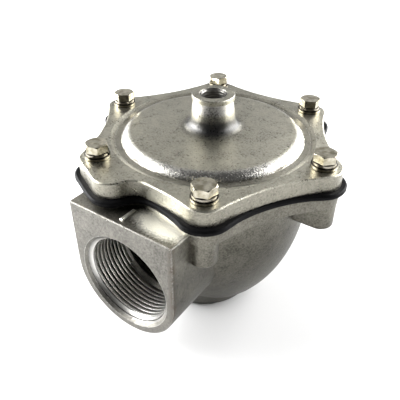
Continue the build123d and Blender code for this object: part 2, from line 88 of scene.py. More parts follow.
# %% Floor and backdrop
AWAY = Vector((CAMERA_AIM[0], CAMERA_AIM[1], 0)).normalized()
ACROSS = Vector((AWAY.y, -AWAY.x, 0))
FLOOR_START = -4.0
FLOOR_END = 1.3
FLOOR_HALF_WIDTH = 4.0
SWEEP_R = 0.5
SWEEP_STEPS = 12
WALL_TOP = 2.0
FLOOR_COLOUR = (0.82, 0.82, 0.82, 1)
FLOOR_ROUGHNESS = 0.9


def swept_sheet(name, line, half_width):
    """Sheet with this profile of (distance away from the camera, height) points."""
    mesh = bpy.data.meshes.new(name)
    points = []
    for distance, height in line:
        for side in (-half_width, half_width):
            points.append(AWAY * distance + ACROSS * side + Vector((0, 0, height)))
    faces = [(2 * i, 2 * i + 1, 2 * i + 3, 2 * i + 2) for i in range(len(line) - 1)]
    mesh.from_pydata(points, [], faces)
    sheet = bpy.data.objects.new(name, mesh)
    bpy.context.scene.collection.objects.link(sheet)
    return sheet


sweep = [(FLOOR_START, 0.0)]
for step in range(SWEEP_STEPS + 1):
    turn = math.pi / 2 * step / SWEEP_STEPS
    sweep.append((FLOOR_END + SWEEP_R * math.sin(turn), SWEEP_R * (1 - math.cos(turn))))
sweep.append((FLOOR_END + SWEEP_R, WALL_TOP))
floor = swept_sheet("floor", sweep, FLOOR_HALF_WIDTH)
floor_paint = bpy.data.materials.new("floor_paint")
floor_paint.use_nodes = True
floor_shader = floor_paint.node_tree.nodes["Principled BSDF"]
floor_shader.inputs["Base Color"].default_value = FLOOR_COLOUR
floor_shader.inputs["Roughness"].default_value = FLOOR_ROUGHNESS
floor.data.materials.append(floor_paint)
print("floor profile points:", len(sweep))

# %% [markdown]
# Bare metal is lit by what it mirrors. Two soft boxes at the sides give the bright patches on the
# neck and the dome's shoulder, and two wide dim ones, behind and above, light the flat tops.
# Upright walls mirror the floor instead, so two small lamps wash the floor left and right of the
# valve. The side of the camera stays dark, which makes the dark bands between the bright patches.
# Each light is set by how bright its face looks, so its size can change without a new power.

# %% Lights
VALVE_MIDDLE = (0.0, 0.0, 0.06)
WASH_SIZE = (0.16, 0.16)
WORLD_COLOUR = (1.0, 1.0, 1.0, 1)
WORLD_GLOW = 0.09


def studio_point(across, away, height):
    """Point from distances across the picture, away from the camera and up."""
    return ACROSS * across + AWAY * away + Vector((0, 0, height))


def soft_box(name, place, target, size, radiance):
    """Adds a flat light at one studio point that faces another."""
    data = bpy.data.lights.new(name, "AREA")
    data.shape = "RECTANGLE"
    data.size, data.size_y = size
    data.energy = radiance * math.pi * size[0] * size[1]
    box = bpy.data.objects.new(name, data)
    box.location = studio_point(*place)
    aim = studio_point(*target) - box.location
    box.rotation_euler = aim.to_track_quat("-Z", "Y").to_euler()
    bpy.context.scene.collection.objects.link(box)


soft_box("left_box", (-0.75, 0.25, 0.36), VALVE_MIDDLE, (1.1, 0.7), 9.2)
soft_box("right_box", (0.80, 0.30, 0.38), VALVE_MIDDLE, (1.2, 0.7), 9.4)
soft_box("back_box", (0.0, 1.15, 0.90), VALVE_MIDDLE, (2.4, 1.0), 0.31)
soft_box("top_box", (0.0, 0.55, 1.15), VALVE_MIDDLE, (2.4, 0.7), 0.23)
soft_box("left_wash", (-0.40, 0.05, 0.20), (-0.19, 0.04, 0.0), WASH_SIZE, 29.0)
soft_box("right_wash", (0.46, 0.06, 0.20), (0.24, 0.06, 0.0), WASH_SIZE, 9.0)
world = bpy.data.worlds.new("studio")
bpy.context.scene.world = world
world.use_nodes = True
world.node_tree.nodes["Background"].inputs["Color"].default_value = WORLD_COLOUR
world.node_tree.nodes["Background"].inputs["Strength"].default_value = WORLD_GLOW
bpy.context.scene.view_settings.view_transform = "Standard"

# %% [markdown]
# Each finish is a small node tree on Object coordinates, so it stays put when a piece moves. Such
# a tree can be wired by hand in the editor, but a script repeats it without slips. One helper
# adds a node to any tree and sets its values or links. The class keeps what every finish needs,
# such as noise, a remap, a mix of colours and a bump of a real depth.

# %% Helpers for node trees
BEVEL_SAMPLES = 3


def add_node(tree, kind, values=None, **settings):
    """New node with settings by name, and socket values or links by name or number."""
    node = tree.nodes.new(kind)
    for key, value in settings.items():
        setattr(node, key, value)
    for key, value in (values or {}).items():
        if isinstance(value, bpy.types.NodeSocket):
            tree.links.new(value, node.inputs[key])
        else:
            node.inputs[key].default_value = value
    return node


class Finish:
    """Material under construction: its node tree, its shader and the piece's own coordinates."""

    def __init__(self, name):
        self.material = bpy.data.materials.new(name)
        self.material.use_nodes = True
        self.tree = self.material.node_tree
        self.shader = self.tree.nodes["Principled BSDF"]
        self.place = self.add("ShaderNodeTexCoord").outputs["Object"]

    def add(self, kind, values=None, **settings):
        return add_node(self.tree, kind, values, **settings)

    def noise(self, scale, detail=4.0, roughness=0.55):
        """Noise value, with its scale in cells per metre."""
        values = {"Scale": scale, "Detail": detail, "Roughness": roughness, "Vector": self.place}
        return self.add("ShaderNodeTexNoise", values).outputs["Fac"]

    def remap(self, value, low, high, to_low=0.0, to_high=1.0):
        """Straight remap of a value, held inside its new range."""
        ends = {"From Min": low, "From Max": high, "To Min": to_low, "To Max": to_high}
        return self.add("ShaderNodeMapRange", {"Value": value, **ends}).outputs["Result"]

    def math(self, operation, first, second):
        """One calculation with two values."""
        return self.add("ShaderNodeMath", {0: first, 1: second}, operation=operation).outputs[0]

    def times(self, first, second):
        """Product of two values."""
        return self.math("MULTIPLY", first, second)

    def blend(self, factor, first, second):
        """Mix of two colours."""
        node = self.add("ShaderNodeMix", data_type="RGBA")
        sockets = {"Factor_Float": factor, "A_Color": first, "B_Color": second}
        for socket in node.inputs:
            value = sockets.get(socket.identifier)
            if isinstance(value, bpy.types.NodeSocket):
                self.tree.links.new(value, socket)
            elif value is not None:
                socket.default_value = value
        return next(s for s in node.outputs if s.identifier == "Result_Color")

    def rounded(self, radius):
        """Normal that is rounded over the sharp edges."""
        bevel = self.add("ShaderNodeBevel", {"Radius": radius}, samples=BEVEL_SAMPLES)
        return bevel.outputs["Normal"]

    def bump(self, height, depth, below=None):
        """Bump of a real depth in metres for a height of 0 to 1."""
        values = {"Height": height, "Distance": depth, "Strength": 1.0}
        if below is not None:
            values["Normal"] = below
        return self.add("ShaderNodeBump", values).outputs["Normal"]

    def set(self, **sockets):
        """Values or links for the shader, with _ for a space in a socket's name."""
        for key, value in sockets.items():
            socket = self.shader.inputs[key.replace("_", " ")]
            if isinstance(value, bpy.types.NodeSocket):
                self.tree.links.new(value, socket)
            else:
                socket.default_value = value


print("a finish can", [name for name in vars(Finish) if not name.startswith("_")])

# %% [markdown]
# Wear, stains, cut faces, painted light and painted shade lie in certain places. They could be
# painted on a picture, which needs an unwrapped mesh, but castings and bolts are plain forms. A
# distance to an upright axis, or a level, finds most places. A sharp edge is found where the true
# normal and a rounded one differ, so it needs no extra mesh. Every mask is 1 inside its place and
# 0 outside.

# %% Masks
VALVE_AXIS = (0.0, 0.0)
EDGE_TURN = (0.985, 0.90)


def near(finish, across, up, radii):
    """1 where two distances from an axis lie inside the inner radius, 0 beyond the outer."""
    flat = finish.add("ShaderNodeCombineXYZ", {"X": across, "Y": up}).outputs[0]
    length = finish.add("ShaderNodeVectorMath", {0: flat}, operation="LENGTH").outputs["Value"]
    return finish.remap(length, *radii, 1.0, 0.0)


def spot(finish, axes, place, radii):
    """1 near an upright axis that stands at this place."""
    across = finish.math("SUBTRACT", axes["X"], place[0])
    along = finish.math("SUBTRACT", axes["Y"], place[1])
    return near(finish, across, along, radii)


def edges(finish, rounded):
    """1 where the rounded normal has turned away from the true one, along sharp edges."""
    true_normal = finish.add("ShaderNodeNewGeometry").outputs["Normal"]
    both = {0: rounded, 1: true_normal}
    turn = finish.add("ShaderNodeVectorMath", both, operation="DOT_PRODUCT").outputs["Value"]
    return finish.remap(turn, *EDGE_TURN)


def paint(names, finish):
    """Gives every named packed piece this finish alone."""
    for name in names:
        mesh = nodes[name].data
        mesh.materials.clear()
        mesh.materials.append(finish.material)


print("an edge is fully worn where its normal has turned by", end=" ")
print(round(math.degrees(math.acos(EDGE_TURN[1]))), "degrees")

# %% [markdown]
# Both castings are raw aluminium with a fine uneven skin. A photographed metal map would do, but
# noise has no seams and keeps its real size. A coarse noise gives blotches a few millimetres wide,
# a finer one gives the grain, and a thresholded one gives dark specks that are also small pits.
# Sharp edges are rubbed bright, broken up by one more noise. Each casting then adds its own marks.

# %% Cast aluminium
BLOTCHES = (130.0, 7.0, 0.72)
GRAIN = (1150.0, 3.0, 0.7)
SPECKS = (800.0, 3.0, 0.6)
NICKS = (300.0, 3.0, 0.6)
HUMPS = (300.0, 4.0)
BLOTCH_SHARE = 0.4
SOFT_MOTTLE = (0.36, 0.60)
HARD_MOTTLE = (0.40, 0.60)
SPECK_EDGE = (0.69, 0.75)
NICK_EDGE = (0.34, 0.50)
CAST_SMOOTHER = 0.05
CAST_ROUGHER = 0.07
CAST_EDGE_R = 0.0005
WORN_POLISH = 0.12
GRAIN_DEPTH = 0.00018
HUMP_DEPTH = 0.00012
SPECK_DEPTH = -0.00010
CAST_SPECK = (0.05, 0.045, 0.04, 1)
WORN_BRIGHT = (0.80, 0.79, 0.75, 1)


def mottled(finish, tone, spread, skin):
    """Light and dark colour of a skin, mixed by the tone."""
    light, dark = skin
    return finish.blend(finish.remap(tone, *spread), dark, light)


def cast_aluminium(name, skin, roughness, wear, marks):
    """As-cast aluminium, mottled and grainy, with worn edges and one casting's own marks."""
    cast = Finish(name)
    grain = cast.noise(*GRAIN)
    blotches = cast.times(cast.noise(*BLOTCHES), BLOTCH_SHARE)
    tone = cast.math("ADD", blotches, cast.times(grain, 1 - BLOTCH_SHARE))
    speck = cast.remap(cast.noise(*SPECKS), *SPECK_EDGE)
    colour = cast.blend(speck, mottled(cast, tone, SOFT_MOTTLE, skin), CAST_SPECK)
    smooth_end, rough_end = roughness - CAST_SMOOTHER, roughness + CAST_ROUGHER
    rough = cast.remap(tone, *HARD_MOTTLE, smooth_end, rough_end)
    axes = cast.add("ShaderNodeSeparateXYZ", {"Vector": cast.place}).outputs
    colour, rough, worn_where = marks(cast, axes, tone, colour, rough)
    nick = cast.times(cast.remap(cast.noise(*NICKS), *NICK_EDGE, 0.0, wear), worn_where)
    rounded = cast.rounded(CAST_EDGE_R)
    worn = cast.times(edges(cast, rounded), nick)
    cast.set(Base_Color=cast.blend(worn, colour, WORN_BRIGHT), Metallic=1.0)
    cast.set(Roughness=cast.math("SUBTRACT", rough, cast.times(worn, WORN_POLISH)))
    shape = cast.bump(grain, GRAIN_DEPTH, rounded)
    shape = cast.bump(cast.noise(*HUMPS), HUMP_DEPTH, shape)
    cast.set(Normal=cast.bump(speck, SPECK_DEPTH, shape))
    return cast


print("blotches", round(1000 / BLOTCHES[0], 1), "mm wide, grain", round(1000 / GRAIN[0], 1), "mm")

# %% [markdown]
# The body's skin is painted darker than the cover's, as painted shade for the shaded floor that
# its walls mirror. A lathe or a mill has cut it bare on the inlet's face, in both ports and on the
# ring round the outlet. On the inlet block, an oval on the top and a small raised bar carry a
# painted highlight. These places could be groups of faces with finishes of their own, but the
# borders would be as hard as the mesh's edges, so each place is a mask instead.

# %% Bare places and painted highlights
INLET_HEIGHT = 0.0431
PORT_R = (0.0256, 0.0257)
INLET_BARE_Y = (-0.0470, -0.0480)
FRONT_FACE_Y = (-0.07305, -0.07335)
FRONT_BARE_SHARE = 0.9
UNDER_FACE_Z = (0.0002, 0.0001)
PATCH_PLACE = (0.0170, -0.0630)
PATCH_SQUEEZE = 0.50
PATCH_R = (0.0020, 0.0100)
PATCH_Z = (0.0765, 0.0775)
PATCH_EDGE = (0.15, 0.60)
MIDDLE_TONE = 0.5
BAR_HALF_WIDTH = (0.0010, 0.0012)
BAR_Z = (0.0781, 0.0783)
BAR_Y = (-0.0614, -0.0616)


def cut_faces(cast, axes):
    """1 on the inlet's face, in both ports' threads and on the ring round the outlet."""
    front_face = cast.remap(axes["Y"], *FRONT_FACE_Y, 0.0, FRONT_BARE_SHARE)
    under_face = cast.remap(axes["Z"], *UNDER_FACE_Z)
    above_inlet = cast.math("SUBTRACT", axes["Z"], INLET_HEIGHT)
    in_inlet = near(cast, axes["X"], above_inlet, PORT_R)
    in_inlet = cast.times(in_inlet, cast.remap(axes["Y"], *INLET_BARE_Y))
    in_outlet = spot(cast, axes, VALVE_AXIS, PORT_R)
    faces = cast.math("MAXIMUM", front_face, under_face)
    return cast.math("MAXIMUM", faces, cast.math("MAXIMUM", in_inlet, in_outlet))


def highlight_patch(cast, axes, tone):
    """1 in the middle of an oval of painted highlight on the block's top, with an uneven rim."""
    across = cast.times(cast.math("SUBTRACT", axes["X"], PATCH_PLACE[0]), PATCH_SQUEEZE)
    along = cast.math("SUBTRACT", axes["Y"], PATCH_PLACE[1])
    oval = cast.times(near(cast, across, along, PATCH_R), cast.remap(axes["Z"], *PATCH_Z))
    uneven = cast.math("ADD", oval, cast.math("SUBTRACT", tone, MIDDLE_TONE))
    return cast.remap(uneven, *PATCH_EDGE)


def cast_bar(cast, axes):
    """1 on the small raised bar on the block's top."""
    bar = cast.times(near(cast, axes["X"], 0.0, BAR_HALF_WIDTH), cast.remap(axes["Z"], *BAR_Z))
    return cast.times(bar, cast.remap(axes["Y"], *BAR_Y))


# PATCH_PLACE is the middle of the painted highlight on the block's top.
print("bare inside radius", PORT_R[0], "and rubbed round", PATCH_PLACE)

# %% [markdown]
# The rest of the body has places too. Its flange and bosses are painted paler than the bowl, as
# painted light for their brighter reflections, the inside of the outlet tube gets painted shade,
# and a rust-brown stain sits on one corner of the inlet block. Colours stored on the mesh's points
# would be only as fine as the mesh. So one finish blends them all, one after the other, and a
# later one lies on top. Only the edges near the inlet's face are worn.

# %% Body finish
LIT_TOP_Z = (0.0560, 0.0720)
LIT_TOP_SHARE = 0.7
PATCH_ROUGHER = 0.16
TUBE_R = (0.0300, 0.0305)
TUBE_Z = (0.018, 0.020)
STAIN_PLACE = (0.0290, -0.0734)
STAIN_R = (0.0006, 0.0030)
STAIN_MOTTLE = (0.44, 0.56, 0.0, 0.8)
WORN_FRONT_Y = (-0.0640, -0.0680)
# The body's skin is painted darker than the cover's: painted shade for the shaded floor its walls
# mirror.
SHADED_BODY_SKIN = ((0.14, 0.134, 0.112, 1), (0.035, 0.033, 0.027, 1))
LIT_TOP_SKIN = ((0.27, 0.258, 0.218, 1), (0.13, 0.124, 0.104, 1))
BARE_SKIN = ((0.25, 0.241, 0.216, 1), (0.11, 0.105, 0.094, 1))
# Near white, for the painted highlights on the block's top, on its small bar and on one flank of
# the cover.
PAINTED_HIGHLIGHT = (0.95, 0.93, 0.83, 1)
STAIN = (0.055, 0.035, 0.020, 1)
# Painted shade for deep holes: the inside of the outlet tube and the cover's pilot bore.
RECESS_SHADE = (0.035, 0.033, 0.03, 1)


def body_marks(cast, axes, tone, colour, rough):
    """Colour and roughness with the body's marks, and a mask of where its edges are worn."""
    # Painted light: the flange and the bosses, high on the body, are painted paler than the bowl.
    lit_top = cast.remap(axes["Z"], *LIT_TOP_Z, 0.0, LIT_TOP_SHARE)
    colour = cast.blend(lit_top, colour, mottled(cast, tone, HARD_MOTTLE, LIT_TOP_SKIN))
    # Painted highlight on an oval of the block's top and on its small raised bar.
    patch = highlight_patch(cast, axes, tone)
    colour = cast.blend(patch, colour, PAINTED_HIGHLIGHT)
    rough = cast.math("ADD", rough, cast.times(patch, PATCH_ROUGHER))
    colour = cast.blend(cast_bar(cast, axes), colour, PAINTED_HIGHLIGHT)
    # Painted shade inside the outlet tube.
    tube = cast.times(spot(cast, axes, VALVE_AXIS, TUBE_R), cast.remap(axes["Z"], *TUBE_Z))
    colour = cast.blend(tube, colour, RECESS_SHADE)
    bare = mottled(cast, tone, HARD_MOTTLE, BARE_SKIN)
    colour = cast.blend(cut_faces(cast, axes), colour, bare)
    stain = cast.times(spot(cast, axes, STAIN_PLACE, STAIN_R), cast.remap(tone, *STAIN_MOTTLE))
    colour = cast.blend(stain, colour, STAIN)
    return colour, rough, cast.remap(axes["Y"], *WORN_FRONT_Y)


body_cast = cast_aluminium("cast_body", SHADED_BODY_SKIN, roughness=0.40, wear=0.9, marks=body_marks)
paint(["valve_body"], body_cast)
print("body finish nodes:", len(body_cast.tree.nodes))

# %% [markdown]
# The cover's skin is lighter than the body's, whose darkness is painted shade. Its neck gets a
# painted highlight, and the dome's shoulder gets a painted highlight and a smoother finish.
# Painted shade lies in the corner round the neck, and a painted dark reflection on the neck's
# front. Its side is painted darker than its top as painted shade, apart from one flank with a
# painted highlight, and the pilot bore gets painted shade. A finish could be wired from nothing
# for it, but the helper for the body's cast skin already has the mottle, the pits and the worn
# edges, so the cover only adds its marks.

# %% Cover finish
FOOT_R = (0.0130, 0.0170)
FOOT_Z = (0.0995, 0.1040)
FOOT_SHADE_SHARE = 0.95
NECK_R = (0.0125, 0.0135)
NECK_Z = (0.1030, 0.1050)
NECK_HIGHLIGHT_SHARE = 0.6
NECK_END_Z = (0.1091, 0.1087)
DARK_REFLECTION_PLACE = (0.0062, -0.0097)
DARK_REFLECTION_R = (0.0020, 0.0062)
DARK_REFLECTION_END_Z = (0.1091, 0.1080)
DARK_REFLECTION_MOTTLE = (0.38, 0.56, 0.92, 0.40)
SHOULDER_INNER_R = (0.0415, 0.0435)
SHOULDER_OUTER_R = (0.0464, 0.0467)
SHOULDER_HIGHLIGHT_SHARE = 0.55
SHOULDER_POLISH = 0.07
SHADED_SIDE_Z = (0.0903, 0.0898)
LIT_FLANK_PLACE = (0.0150, -0.0600)
LIT_FLANK_R = (0.0050, 0.0130)
LIT_FLANK_MOTTLE = (0.36, 0.56, 0.15, 0.45)
BORE_R = (0.00662, 0.0067)
COVER_SKIN = ((0.49, 0.47, 0.39, 1), (0.26, 0.25, 0.205, 1))
# Near black, for the painted shade round the neck's foot and the painted dark reflection on its
# front.
NECK_SHADE_AND_REFLECTION = (0.055, 0.055, 0.056, 1)
HIGHLIGHT_SKIN = (0.72, 0.71, 0.70, 1)
SHADED_SIDE_SKIN = ((0.35, 0.335, 0.28, 1), (0.19, 0.182, 0.15, 1))


def neck_shade_and_highlight(cast, axes, tone, colour):
    """Painted highlight on the neck, with painted shade round its foot and a painted dark
    reflection on its front.
    """
    # Painted shade in the corner round the neck's foot.
    foot_shade = spot(cast, axes, VALVE_AXIS, FOOT_R)
    foot_shade = cast.times(foot_shade, cast.remap(axes["Z"], *FOOT_Z, FOOT_SHADE_SHARE, 0.0))
    colour = cast.blend(foot_shade, colour, NECK_SHADE_AND_REFLECTION)
    # Painted highlight on the neck's wall.
    neck_highlight = spot(cast, axes, VALVE_AXIS, NECK_R)
    neck_highlight = cast.times(neck_highlight, cast.remap(axes["Z"], *NECK_Z, 0.0, NECK_HIGHLIGHT_SHARE))
    neck_highlight = cast.times(neck_highlight, cast.remap(axes["Z"], *NECK_END_Z))
    colour = cast.blend(neck_highlight, colour, HIGHLIGHT_SKIN)
    # Painted dark reflection on the neck's front, which faces the dark camera side.
    dark_reflection = spot(cast, axes, DARK_REFLECTION_PLACE, DARK_REFLECTION_R)
    dark_reflection = cast.times(dark_reflection, cast.remap(axes["Z"], *DARK_REFLECTION_END_Z))
    dark_reflection = cast.times(dark_reflection, cast.remap(tone, *DARK_REFLECTION_MOTTLE))
    return cast.blend(dark_reflection, colour, NECK_SHADE_AND_REFLECTION)


def cover_marks(cast, axes, tone, colour, rough):
    """Colour and roughness with the cover's marks, and worn edges everywhere."""
    colour = neck_shade_and_highlight(cast, axes, tone, colour)
    inside_shoulder = spot(cast, axes, VALVE_AXIS, SHOULDER_INNER_R)
    shoulder = cast.math("SUBTRACT", 1.0, inside_shoulder)
    shoulder = cast.times(shoulder, spot(cast, axes, VALVE_AXIS, SHOULDER_OUTER_R))
    # Painted highlight on the dome's shoulder, which is also made smoother.
    colour = cast.blend(cast.times(shoulder, SHOULDER_HIGHLIGHT_SHARE), colour, HIGHLIGHT_SKIN)
    rough = cast.math("SUBTRACT", rough, cast.times(shoulder, SHOULDER_POLISH))
    # Painted highlight on one flank of the cover's side.
    lit_flank = cast.times(spot(cast, axes, LIT_FLANK_PLACE, LIT_FLANK_R), cast.remap(tone, *LIT_FLANK_MOTTLE))
    side = cast.blend(lit_flank, mottled(cast, tone, SOFT_MOTTLE, SHADED_SIDE_SKIN), PAINTED_HIGHLIGHT)
    # Painted shade: the side below the flange's top is painted darker than the top.
    colour = cast.blend(cast.remap(axes["Z"], *SHADED_SIDE_Z), colour, side)
    # Painted shade in the pilot bore.
    return cast.blend(spot(cast, axes, VALVE_AXIS, BORE_R), colour, RECESS_SHADE), rough, 1.0


cover_cast = cast_aluminium("cast_cover", COVER_SKIN, roughness=0.31, wear=1.0, marks=cover_marks)
paint(["cover"], cover_cast)
print("cover finish nodes:", len(cover_cast.tree.nodes))

# %% [markdown]
# The bolts, the washers and the nut are nickel-plated steel. Plate is smooth, so smudges in its
# roughness do more than bumps. Painted shade lies in the seams between head, washers and casting.
# A dark ring could be a piece of its own, but a mask of three heights does the same on all six
# bolts.

# %% Plated metal
SMUDGES = (350.0, 4.0)
SMUDGE_COLOURS = (0.35, 0.65)
NOISE_RANGE = (0.3, 0.7)
PLATE_SMOOTHER = 0.03
PLATE_ROUGHER = 0.06
RUB_NOISE = 600.0
RUB_EDGE = (0.4, 0.6)
FINE_GRAIN = (2200.0, 2.0)
FINE_GRAIN_DEPTH = 0.000005
DENTS = (500.0, 3.0)
DENT_DEPTH = 0.00002
PLATED_EDGE_R = 0.00025
SEAM_LEVELS = (0.0908, 0.0924, 0.0940)
SEAM_CORE = 0.00014
SEAM_END = 0.00034
SEAM_SHARE = 0.9
SEAM_SHADE = (0.02, 0.018, 0.015, 1)


def seam_shade(plate):
    """Mask of the heights where the washers and the head of a bolt lie on each other."""
    height = plate.add("ShaderNodeSeparateXYZ", {"Vector": plate.place}).outputs["Z"]
    shade_mask = 0.0
    for level in SEAM_LEVELS:
        away = plate.math("SUBTRACT", height, level)
        seam = plate.remap(plate.times(away, away), SEAM_CORE**2, SEAM_END**2, SEAM_SHARE, 0.0)
        shade_mask = plate.math("MAXIMUM", shade_mask, seam)
    return shade_mask


def plated(name, skin, roughness, seams=False):
    """Plated metal with soft smudges, rubbed edges and, under a bolt's head, painted shade in the
    seams.
    """
    plate = Finish(name)
    smudge = plate.noise(*SMUDGES)
    colour = mottled(plate, smudge, SMUDGE_COLOURS, skin)
    rounded = plate.rounded(PLATED_EDGE_R)
    rub = plate.remap(plate.noise(RUB_NOISE), *RUB_EDGE)
    colour = plate.blend(plate.times(edges(plate, rounded), rub), colour, skin[0])
    # Painted shade in the seams under a bolt's head.
    if seams:
        colour = plate.blend(seam_shade(plate), colour, SEAM_SHADE)
    plate.set(Base_Color=colour, Metallic=1.0)
    smooth_end, rough_end = roughness - PLATE_SMOOTHER, roughness + PLATE_ROUGHER
    plate.set(Roughness=plate.remap(smudge, *NOISE_RANGE, smooth_end, rough_end))
    shape = plate.bump(plate.noise(*FINE_GRAIN), FINE_GRAIN_DEPTH, rounded)
    plate.set(Normal=plate.bump(plate.noise(*DENTS), DENT_DEPTH, shape))
    return plate


print("seams at", [round(level * 1000, 1) for level in SEAM_LEVELS], "mm")

# %% [markdown]
# The nickel has a faint yellow cast and the spring steel is darker. The plates on the diaphragm
# are pressed steel and duller, and the small jet in the body's ear is turned brass. Each metal
# could have nodes of its own, but colours and a roughness are all that tell them apart, so one
# helper makes them all. The spring's wire has a finish without the painted seam shade, because the
# wire passes the heights of the seams.

# %% Finish the metal pieces
NICKEL = ((0.60, 0.565, 0.465, 1), (0.27, 0.243, 0.172, 1))
SPRING_STEEL = ((0.42, 0.39, 0.33, 1), (0.26, 0.235, 0.19, 1))
PRESSED_STEEL = ((0.55, 0.55, 0.53, 1), (0.42, 0.42, 0.41, 1))
BRASS = ((0.75, 0.56, 0.24, 1), (0.60, 0.43, 0.18, 1))


def six(name):
    """Names of the six copies of a piece, one at each bolt."""
    return [f"{name}_{number}" for number in range(1, 7)]


nickel_pieces = six("cover_bolt") + six("flat_washer") + ["centre_screw", "centre_nut"]
paint(nickel_pieces, plated("nickel_plate", NICKEL, roughness=0.12, seams=True))
split_washers = six("spring_washer") + ["centre_lock_washer"]
paint(split_washers, plated("spring_plate", SPRING_STEEL, roughness=0.16, seams=True))
spring_wire = plated("spring_wire", SPRING_STEEL, roughness=0.16)
paint(["backing_plate", "clamp_plate"], plated("pressed_steel", PRESSED_STEEL, roughness=0.35))
paint(["bleed_jet"], plated("turned_brass", BRASS, roughness=0.25))
print("finishes:", [m.name for m in bpy.data.materials])

# %% [markdown]
# The diaphragm is black rubber that the castings squeeze, so its edge bulges a little unevenly.
# A bump in the material would leave the outline straight, so the mesh itself is waved. First a
# copy of the packed sheet is welded and the long edges of its rim are divided, so that there are
# enough points to move.

# %% A finer rubber rim
RIM_START = 0.0585
RIM_STEP = 0.0016
RIM_ROUNDS = 4
FLAT_FACE = 0.999
WELD_GAP = 0.000002


def welded_copy(node):
    """Copy of a packed piece's mesh, and its shape with the loose triangles joined."""
    mesh = nodes[node].data.copy()
    shape = bmesh.new()
    shape.from_mesh(mesh)
    bmesh.ops.remove_doubles(shape, verts=shape.verts, dist=WELD_GAP)
    return mesh, shape


def on_rim(vert):
    """True for a point of the sheet's outer rim."""
    return math.hypot(vert.co.x, vert.co.y) > RIM_START


def is_long_rim_edge(edge):
    """True for a long edge of the rim that isn't wholly inside a flat face of the sheet."""
    if edge.is_boundary or edge.calc_length() <= RIM_STEP or not all(map(on_rim, edge.verts)):
        return False
    return min(abs(face.normal.z) for face in edge.link_faces) < FLAT_FACE


def divide_rim(shape):
    """Splits the rim's long edges, so that the wave has points to move."""
    for _ in range(RIM_ROUNDS):
        long_edges = [edge for edge in shape.edges if is_long_rim_edge(edge)]
        if not long_edges:
            return
        bmesh.ops.subdivide_edges(shape, edges=long_edges, cuts=1)
        bmesh.ops.triangulate(shape, faces=shape.faces)


sheet_mesh, sheet = welded_copy("diaphragm")
before = len(sheet.verts)
divide_rim(sheet)
print("points in the rubber sheet:", before, "then", len(sheet.verts))

# %% [markdown]
# Every point on the rim is now pushed in or out by a smooth noise, with a finer one added, both
# well under the thickness of the sheet. In the open valve the real sheet bends. Here the piece is
# attached to no body and stays where it is.

# %% Wave the rim
RIM_WAVE = 0.00035
WAVE_SCALE = 110
WAVE_LEVEL = 0.3
FINE_WAVE_SCALE = 420
FINE_WAVE_SHARE = 0.35
WAVE_INWARD = 0.3
SIDE_FACE = 0.9
RUBBER_LIGHT = (0.007, 0.007, 0.0075, 1)
RUBBER_DARK = (0.003, 0.003, 0.0035, 1)
RUBBER_GRAIN = (900.0, 3.0)
RUBBER_GRAIN_DEPTH = 0.00005
RUBBER_HUMPS = (350.0, 3.0)
RUBBER_HUMP_DEPTH = 0.00008
RUBBER_ROUGHNESS = (0.36, 0.48)
RUBBER_SHINE = 0.05


def finished(name, mesh, material, body):
    """Object for a finished mesh, with its finish, its body and its material slot."""
    mesh.materials.clear()
    mesh.materials.append(material)
    piece = bpy.data.objects.new(name, mesh)
    bpy.context.scene.collection.objects.link(piece)
    if body:
        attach(piece, body)
    return piece


for vert in sheet.verts:
    if on_rim(vert) and any(abs(face.normal.z) < SIDE_FACE for face in vert.link_faces):
        x, y = vert.co.xy
        wave = noise.noise(Vector((x * WAVE_SCALE, y * WAVE_SCALE, WAVE_LEVEL)))
        fine = noise.noise(vert.co * FINE_WAVE_SCALE)
        push = 1 + RIM_WAVE * (wave + FINE_WAVE_SHARE * fine - WAVE_INWARD) / math.hypot(x, y)
        vert.co.x *= push
        vert.co.y *= push
sheet.to_mesh(sheet_mesh)
sheet.free()
rubber = Finish("black_rubber")
rubber_grain = rubber.noise(*RUBBER_GRAIN)
rubber.set(Base_Color=rubber.blend(rubber_grain, RUBBER_DARK, RUBBER_LIGHT))
rubber.set(Roughness=rubber.remap(rubber_grain, *NOISE_RANGE, *RUBBER_ROUGHNESS))
rubber.set(Specular_IOR_Level=RUBBER_SHINE)
rubber_shape = rubber.bump(rubber_grain, RUBBER_GRAIN_DEPTH)
rubber.set(Normal=rubber.bump(rubber.noise(*RUBBER_HUMPS), RUBBER_HUMP_DEPTH, rubber_shape))
paint(["diaphragm"], rubber)
diaphragm = finished("diaphragm_rubber", sheet_mesh, rubber.material, None)
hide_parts("diaphragm")
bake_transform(diaphragm)
print("diaphragm points:", len(sheet_mesh.vertices))

# %% [markdown]
# The threads and the spring are drawn by Geometry Nodes, which make a shape from named sizes. The
# same could be modelled by hand with a Screw modifier, but a node tree can be used again for
# another size. The class below keeps what both trees need. Its last step turns the result into a
# plain mesh, so that nothing in the scene depends on a modifier.

# %% Helpers for shape trees


